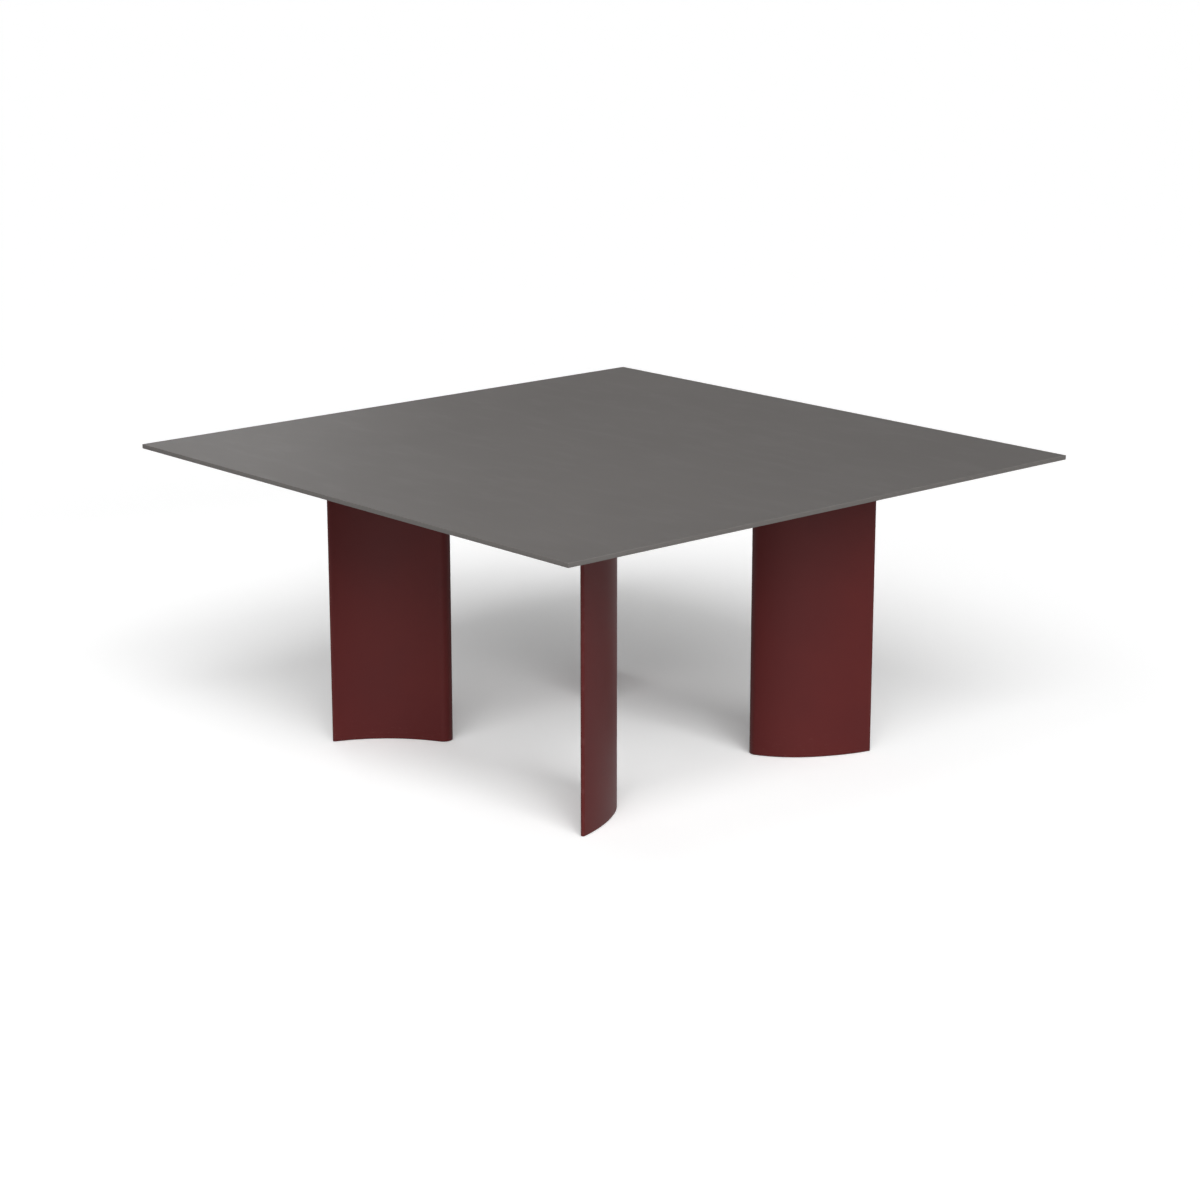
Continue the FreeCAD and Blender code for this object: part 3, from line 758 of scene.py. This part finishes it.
# %% Make the end caps
TUBE_WIDTH = 0.05
TUBE_DEPTH = 0.025
CAP_CORNER = 0.0024
CAP_FLANGE = 0.003
CAP_EASE = 0.0012
CAP_EASE_LEVEL = 0.0012
CAP_PLUG = 0.014
PLUG_INSET = 0.0022
PLUG_TIP = 0.0015
PLUG_TIP_INSET = 0.0024
PLUG_FACE = ((0.8, -CAP_PLUG), (0, -CAP_PLUG))
DOME = ((0, 0), (0.4, 0.00003), (0.75, 0.0002), (0.9, 0.0004))


def cap_net(width, depth):
    """Shares of the outline that sink as a dome, a rounded flange, and the plug set in behind it."""
    outline, normals = rounded_rectangle(width, depth, CAP_CORNER)
    dome = shrink(outline, [(share, CAP_FLANGE - drop) for share, drop in DOME])
    flange = rim(CAP_EASE, CAP_EASE_LEVEL, CAP_EASE, 90, 0, steps=5) + [(0, 0)]
    stem = [(PLUG_INSET, 0), (PLUG_INSET, PLUG_TIP - CAP_PLUG), (PLUG_TIP_INSET, -CAP_PLUG)]
    face = shrink(outline, PLUG_FACE)
    return net(np.concatenate([dome, carry(outline, normals, flange + stem), face]))


def open_ends(node):
    """The middle of each open end of a rail, and the way it faces in degrees from X."""
    low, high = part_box(node)
    middle = (low + high) / 2
    if node.startswith("long_rail"):
        return [((low.x, middle.y, middle.z), 180), ((high.x, middle.y, middle.z), 0)]
    if node.startswith("outrigger_rear"):
        return [((middle.x, high.y, middle.z), 90)]
    if node.startswith("outrigger_front"):
        return [((middle.x, low.y, middle.z), -90)]
    return []


cap_points, cap_faces = cap_net(TUBE_WIDTH, TUBE_DEPTH)
ends = [end for node in sorted(frame["nodes"]) for end in open_ends(node)]
lying_cap = (laid(cap_points, "x"), cap_faces)
caps = together([moved(lying_cap, place, turn) for place, turn in ends])
report(make_piece("end_caps", caps, plastic, "table", "plastic", "rail_end_caps"))

# %% [markdown]
# ## Screws and bolts
#
# The fasteners have hexagon heads. A forged head is a hexagon cut by a shallow cone, which leaves
# the curved corners that everyone knows: at each level the radius is the smaller of the two. The
# radius of a hexagon at an angle is its inner radius divided by the cosine of the angle to the
# middle of the nearest side. A row of the head is a share of its radius and a share of its height.

# %% Make the hexagon heads
HEAD_ROWS = np.array([(0, 0), (0.55, 0), (1, 0), (1, 0.12), (1, 0.25), (1, 0.4), (1, 1.0)])
CONE_START = 0.93
CONE_SLOPE = math.sqrt(3)
BEARING_SHARE = 0.95
BEARING_LEVEL = 0.0002
TIP_SHARE = 0.8
TIP_LENGTH = 0.3
BOLT = {"corner": 0.0075, "height": 0.0053, "shank": 0.004}
SCREW = {"corner": 0.0058, "height": 0.004, "shank": 0.003}


def hexagon_head(corner, height, shank, length, columns=48):
    """Rows from a pole under the head, out over the cone, up the flats, and in to shank and tip."""
    angles = np.arange(columns) * math.tau / columns
    flat = corner * math.cos(math.pi / 6)
    side = flat / np.cos((angles % (math.pi / 3)) - math.pi / 6)
    share, rise = HEAD_ROWS.T
    rise = rise * height
    cone = flat * CONE_START * share[:, None] + rise[:, None] * CONE_SLOPE
    head = np.minimum(side[None] * share[:, None], cone)
    stem = np.array([flat * BEARING_SHARE, shank, shank, shank * TIP_SHARE, 0.0])
    tip = length - shank * TIP_LENGTH
    stem_levels = np.array([BEARING_LEVEL, BEARING_LEVEL, tip, length, length])
    radius = np.concatenate([head, np.broadcast_to(stem[:, None], (len(stem), columns))])
    flat_points = np.stack([radius * np.cos(angles), radius * np.sin(angles)], axis=-1)
    return net(raised(flat_points, np.concatenate([rise - height, stem_levels])))


sample, sample_faces = hexagon_head(**BOLT, length=0.02)
print("a bolt has", len(sample_faces), "faces and reaches", round(sample[:, 0].max() * 1000, 1), "mm")


# %% Place a fastener at each solid of its node
def solids_of(node):
    """The box of each loose solid of a node. Points in one place count as one, and each takes the
    lowest label among its neighbours until none changes, which leaves one label for each solid."""
    mesh = frame["nodes"][node].data
    pairs = np.empty(len(mesh.edges) * 2, np.int32)
    mesh.edges.foreach_get("vertices", pairs)
    places, number = np.unique(points_of(mesh).round(6), axis=0, return_inverse=True)
    first, second = number.reshape(-1)[pairs].reshape(-1, 2).T
    label = np.arange(len(places))
    changed = True
    while changed:
        lowest = label.copy()
        np.minimum.at(lowest, first, label[second])
        np.minimum.at(lowest, second, label[first])
        changed = (lowest != label).any()
        label = lowest
    solids = [places[label == one] for one in np.unique(label)]
    return [(solid.min(axis=0), solid.max(axis=0)) for solid in solids]


def make_fasteners(name, node, corner, height, shank):
    """One fastener in the middle of each solid's box, its head's underside at the box's foot."""
    nets = []
    for low, high in solids_of(node):
        fastener = hexagon_head(corner, height, shank, high[2] - low[2] - height)
        nets.append(moved(fastener, (*(low + high)[:2] / 2, low[2] + height)))
    return make_piece(name, together(nets), zinc, "table", "fastener", node)


report(make_fasteners("bolts_of_legs", "leg_bolts", **BOLT))
report(make_fasteners("screws_of_top", "top_screws", **SCREW))

# %% [markdown]
# ## The fixing tabs
#
# Small steel tabs are welded to the rails, and a screw goes up through each into the top. A tab is
# a rounded rectangle with a round hole. Both outlines are read at the same angles, so the surface
# between them is a band that closes on itself: up the hole, out over the top, down the edge and
# back below.

# %% Make the tabs
TAB_CORNER = 0.003
TAB_EASE = 0.0004
SCREW_HOLE = 0.0034


def tab_net(width, reach, thickness):
    """The hole's circle at each angle of the outline, then the outline over its two eased rims."""
    outline, normals = rounded_rectangle(width, reach, TAB_CORNER, steps=9)
    angles = np.arctan2(outline[:, 1], outline[:, 0])
    hole = np.stack([np.cos(angles), np.sin(angles)], axis=-1) * SCREW_HOLE
    bore = raised(np.stack([hole, hole]), [0, thickness])
    rows = rim(TAB_EASE, thickness - TAB_EASE, TAB_EASE, 90, 0)
    rows += rim(TAB_EASE, TAB_EASE, TAB_EASE, 0, -90)
    return net(np.concatenate([bore, carry(outline, normals, rows)]), closed_rows=True)


tab_boxes = solids_of("top_fixing_tabs")
tab_nets = [moved(tab_net(*(high - low)), (*(low + high)[:2] / 2, low[2])) for low, high in tab_boxes]
report(make_piece("fixing_tabs", together(tab_nets), anthracite, "table", "frame", "top_fixing_tabs"))

# %% [markdown]
# ## The weld beads
#
# A weld in a corner is a row of small overlapping puddles. A bead is a thin rod along the corner
# whose radius ripples along its length and goes to nothing at both ends. Half of it lies inside the
# steel, as the real weld has melted into it. The same function follows a straight corner of the
# frame and the curved foot of a leg's flange, because it asks only for a path.

# %% Carry a bead along a path
RIPPLE = 0.0022
RIPPLE_SHARE = 0.12
STEPS_PER_WAVE = 5


def bead_net(path, radius, columns=10):
    """Radius along the path: an end taper, times one plus a small wave a ripple long."""
    path = np.array(path, float)
    run = np.concatenate([[0], np.cumsum(np.linalg.norm(np.diff(path, axis=0), axis=1))])
    along = np.linspace(0, run[-1], int(run[-1] / RIPPLE * STEPS_PER_WAVE))
    spine = np.stack([np.interp(along, run, path[:, axis]) for axis in range(3)], axis=-1)
    direction = np.gradient(spine, axis=0)
    direction /= np.linalg.norm(direction, axis=1)[:, None]
    upright = abs(path[-1] - path[0])[2] > run[-1] / 2
    side = np.cross(direction, (1, 0, 0) if upright else (0, 0, 1))
    across = np.cross(direction, side)
    taper = np.sqrt(np.clip(np.minimum(along, run[-1] - along) / radius, 0, 1))
    swell = radius * taper * (1 + RIPPLE_SHARE * np.sin(along / RIPPLE * math.tau))
    angles = np.arange(columns) * math.tau / columns
    ring = np.cos(angles)[:, None] * side[:, None] + np.sin(angles)[:, None] * across[:, None]
    return net(spine[:, None] + swell[:, None, None] * ring)


print("a bead of 20 mm has", len(bead_net([(0, 0, 0), (0.02, 0, 0)], 0.0028)[1]), "faces")

# %% Weld the frame
CORNER_BEAD = 0.0028
ROOT_BEAD = 0.0022
SHORT_OF_TAB_END = 0.002
SHORT_OF_RAIL_EDGE = 0.001
OPEN_ENDS_BEYOND = 0.5

long_rail_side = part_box("long_rail_rear")[0].y
cross_sides = (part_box("cross_rail_right")[0].x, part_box("cross_rail_centre")[1].x)


def tab_root(low, high):
    """The side of a tab that touches its rail, on the tab's underside and just short of its ends."""
    if high[0] - low[0] > high[1] - low[1]:
        y = min((low[1], high[1]), key=lambda side: abs(abs(side) - long_rail_side))
        return [(x, y, low[2]) for x in (low[0] + SHORT_OF_TAB_END, high[0] - SHORT_OF_TAB_END)]
    x = min((low[0], high[0]), key=lambda side: min(abs(abs(side) - line) for line in cross_sides))
    return [(x, y, low[2]) for y in (low[1] + SHORT_OF_TAB_END, high[1] - SHORT_OF_TAB_END)]


def corner_paths(node):
    """Upright paths in the corners where a rail along Y meets a long rail, not at its open end."""
    low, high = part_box(node)
    welded_ends = [y for y in (low.y, high.y) if abs(y) < OPEN_ENDS_BEYOND]
    corners = [(x, y) for x in (low.x, high.x) for y in welded_ends]
    levels = (low.z + SHORT_OF_RAIL_EDGE, high.z - SHORT_OF_RAIL_EDGE)
    return [[(x, y, level) for level in levels] for x, y in corners]


crossing = [node for node in sorted(frame["nodes"]) if node.startswith(("cross_rail", "outrigger"))]
bead_nets = [bead_net(path, CORNER_BEAD) for node in crossing for path in corner_paths(node)]
bead_nets += [bead_net(tab_root(low, high), ROOT_BEAD) for low, high in tab_boxes]
report(make_piece("frame_welds", together(bead_nets), anthracite, "table", "frame"))

# %% Weld the legs to their flanges
WELD_FIRST = 0.2
WELD_LAST = 0.77
LEG_BEAD = 0.003

share = (wing - NOSE_PLACE) @ CHORD_WAY / CHORD
on_hollow = np.arange(len(wing)) >= len(wing) - HOLLOW_STEPS
welded = wing[on_hollow & (share > WELD_FIRST) & (share < WELD_LAST)]
seam = np.append(welded, np.full((len(welded), 1), high_leg.z), axis=1)
seam_nets = [bead_net(seam * np.array([*signs, 1]), LEG_BEAD) for signs in QUARTERS.values()]
report(make_piece("leg_welds", together(seam_nets), burgundy, "table", "leg"))

# %% [markdown]
# ## The levelling feet
#
# Each foot is a threaded stud in a round pad. A thread is a ridge that climbs one pitch a turn: the
# radius depends on the height minus the share of the turn, so the ridge closes on itself after a
# full turn. The pad is a lathe shape with shallow grips round its edge, to turn it by hand.

# %% Shape the stud
STUD_RADIUS = 0.004
PITCH = 0.00125
THREAD_DEPTH = 0.0006
STUD_CHAMFER = 0.001
FLANK_START = 0.75
FLANK_WIDTH = 0.5


def stud_net(length, columns=20):
    """Radius is full on the crest and falls over a flank to the groove. How far a point is from
    the middle of the groove, from 0 to 1, is a wave of its height less the share of the turn."""
    angles = np.arange(columns) * math.tau / columns
    heights = np.linspace(0, length, int(length / PITCH * STEPS_PER_WAVE))
    phase = (heights[:, None] / PITCH - angles[None] / math.tau) % 1
    from_groove = np.abs(phase * 2 - 1)
    groove = np.clip((FLANK_START - from_groove) / FLANK_WIDTH, 0, 1)
    full = np.clip(np.minimum(heights, length - heights)[:, None] / STUD_CHAMFER, 0, 1)
    shaft = STUD_RADIUS - THREAD_DEPTH * np.maximum(groove, 1 - full)
    pole = np.zeros((1, columns))
    radius = np.concatenate([pole, shaft, pole])
    flat_points = np.stack([radius * np.cos(angles), radius * np.sin(angles)], axis=-1)
    return net(raised(flat_points, np.concatenate([[0], heights, [length]])))


print("a stud of 40 mm has", len(stud_net(0.04)[1]), "faces")

# %% Shape the pad
PAD_PROFILE = np.array([
    (0, 0), (0.8, 0), (0.92, 0), (0.98, 0.05), (1, 0.15), (1, 0.55), (0.97, 0.68), (0.9, 0.74),
    (0.72, 0.78), (0.66, 0.84), (0.64, 1.0), (0, 1.0),
])
GRIPS = 12
GRIP_DEPTH = 0.035
GRIP_START = 0.75
GRIP_FADE = 0.2


def pad_net(radius, height, columns=96):
    """Rows of (radius, level), and on the widest rows a wave round the edge."""
    reach, level = PAD_PROFILE.T
    angles = np.arange(columns) * math.tau / columns
    dip = GRIP_DEPTH * (1 + np.cos(angles * GRIPS)) / 2
    gripped = np.clip((reach - GRIP_START) / GRIP_FADE, 0, 1)
    waved = reach[:, None] * radius * (1 - gripped[:, None] * dip[None])
    flat_points = np.stack([waved * np.cos(angles), waved * np.sin(angles)], axis=-1)
    return net(raised(flat_points, level * height))


print("a pad has", len(pad_net(0.01, 0.006)[1]), "faces")


# %% Make the eight feet
def make_foot(body):
    """The stud and the pad of one body, each on the axis and at the foot of its node."""
    place = body.removeprefix("foot_")
    low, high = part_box("foot_pad_" + place)
    axis = (low + high) / 2
    disc = moved(pad_net((high.x - low.x) / 2, high.z - low.z), (axis.x, axis.y, low.z))
    pad = make_piece("pad_" + place, disc, plastic, body, "plastic", "foot_pad_" + place)
    low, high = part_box("foot_stud_" + place)
    thread = moved(stud_net(high.z - low.z), (axis.x, axis.y, low.z))
    stud = make_piece("stud_" + place, thread, zinc, body, "fastener", "foot_stud_" + place)
    return pad, stud


for body in sorted(frame["bodies"]):
    if body.startswith("foot_"):
        pad, stud = make_foot(body)
report(pad)
report(stud)

# %% [markdown]
# ## The nodes that stay as they are
#
# Head plates, foot plates, ribs and rivet nuts are flat plates and plain nuts, whose shape is
# already right. They keep their meshes and get the finish of their kind.

# %% Give the kept nodes their finish
FINISHES = {
    "head_plate": burgundy,
    "foot_plate": thin_coat,
    "leg_rib": thin_coat,
    "rail_rivet_nuts": zinc,
}

kept = []
for kind, finish in FINISHES.items():
    for name, thing in frame["nodes"].items():
        if name.startswith(kind):
            thing.material_slots[0].material = finish
            kept.append(name)
print("kept nodes", len(kept))

# %% [markdown]
# ## The studio
#
# The photograph has a white floor that fades into white, and soft grey shadows behind and beside
# the legs. So the light is broad: four wide lights far away, on the camera's side, and two round
# soft boxes near the table. The floor is a pale matt sheet. To the rays that show the background
# it is a purer white and glows a little, so that it reads as white where no shadow falls, while
# the shadows stay and no more light reaches the table.
#
# A wide light is written as its azimuth, its elevation and its level, and a soft box as its
# azimuth, elevation, distance and power. Azimuth counts from the way to the camera.

# %% Lay the floor
FLOOR_REACH = 90
FLOOR_WHITE = (0.98, 0.98, 0.98, 1)
FLOOR_PALE = (0.8, 0.8, 0.8, 1)
FLOOR_GLOW = 0.15
BLACK = (0, 0, 0, 1)
WHITE = (1, 1, 1, 1)


def rays_that_show(tree):
    """1 for a ray that shows the background: from the camera, in a gloss or through glass."""
    rays = ("Is Camera Ray", "Is Glossy Ray", "Is Transmission Ray")
    camera_ray, glossy_ray, glass_ray = [tree.node("LightPath", output=ray) for ray in rays]
    return tree.math("MINIMUM", camera_ray + glossy_ray + glass_ray, 1)


def make_floor():
    """A square sheet. The rays that show the background see it whiter, with a glow of its own."""
    mesh = bpy.data.meshes.new("floor")
    corners = np.array([(-1, -1, 0), (1, -1, 0), (1, 1, 0), (-1, 1, 0)]) * FLOOR_REACH
    mesh.from_pydata(corners.tolist(), [], [(0, 1, 2, 3)])
    sheet = bpy.data.objects.new("floor", mesh)
    bpy.context.scene.collection.objects.link(sheet)
    material, place = start_material("studio_floor")
    shown = rays_that_show(place)
    set_shader(
        material,
        Base_Color=between(shown, FLOOR_PALE, FLOOR_WHITE),
        Roughness=1.0,
        Specular_IOR_Level=0.0,
        Emission_Color=between(shown, BLACK, WHITE),
        Emission_Strength=FLOOR_GLOW,
    )
    mesh.materials.append(material)
    return sheet


print("floor", [round(side) for side in make_floor().dimensions], "m")


# %% Hang the lamps
WALL_LIGHTS = ((-30, 28, 0.27), (0, 14, 0.22), (0, 42, 0.48), (30, 28, 0.57))
WALL_LIGHT_SPREAD = math.radians(34)
SOFTBOXES = ((-20, 58, 2.2, 10), (-148, 22, 2.6, 5.5))
SOFTBOX_SIZE = 1.2
TABLE_HEART = 0.6


def bearing_of(azimuth):
    """The way to a lamp as an angle from X. Azimuth 0 degrees is the way to the camera."""
    return math.radians(CAMERA_HEADING + 180 + azimuth)


def hang_lamp(name, kind, azimuth, elevation, energy):
    """A lamp turned so that it shines down its own bearing at the table."""
    lamp = bpy.data.lights.new(name, kind)
    lamp.energy = energy
    thing = bpy.data.objects.new(name, lamp)
    thing.rotation_euler = (math.radians(90 - elevation), 0, bearing_of(azimuth) + math.pi / 2)
    bpy.context.scene.collection.objects.link(thing)
    return thing


def hang_wall_light(azimuth, elevation, level):
    """Broad light from far away. At level 1 it alone would show a white sheet facing it as white."""
    name = f"wall_light_{azimuth}_{elevation}"
    thing = hang_lamp(name, "SUN", azimuth, elevation, level * math.pi)
    thing.data.angle = WALL_LIGHT_SPREAD


def hang_softbox(azimuth, elevation, distance, power):
    """A round lamp near the table, so that its light falls off across the top."""
    thing = hang_lamp(f"softbox_{azimuth}_{elevation}", "AREA", azimuth, elevation, power)
    thing.data.shape = "DISK"
    thing.data.size = SOFTBOX_SIZE
    bearing, rise = bearing_of(azimuth), math.radians(elevation)
    flat = math.cos(rise) * distance
    height = TABLE_HEART + math.sin(rise) * distance
    thing.location = (flat * math.cos(bearing), flat * math.sin(bearing), height)


for azimuth, elevation, level in WALL_LIGHTS:
    hang_wall_light(azimuth, elevation, level)
for azimuth, elevation, distance, power in SOFTBOXES:
    hang_softbox(azimuth, elevation, distance, power)

# %% Light the air
AIR_LEVEL = 0.1
BAND_TOP = (0.19, 0.31)


def light_air():
    """Weak light from all round. The rays that show the background see a white band above the
    horizon, which fades to the weak level between two heights of the view direction."""
    world = bpy.data.worlds.new("studio")
    world.use_nodes = True
    bpy.context.scene.world = world
    tree = Signal(world.node_tree)
    background = world.node_tree.nodes["Background"]
    background.inputs["Color"].default_value = WHITE
    height = axes(tree.node("TexCoord", output="Generated"))[2]
    band = ramp(height, *BAND_TOP, start=1, end=AIR_LEVEL)
    strength = ramp(rays_that_show(tree), low=0, high=1, start=AIR_LEVEL, end=band)
    plug(world.node_tree, background.inputs["Strength"], strength)
    return world


print("air", light_air().name, "at a level of", AIR_LEVEL)
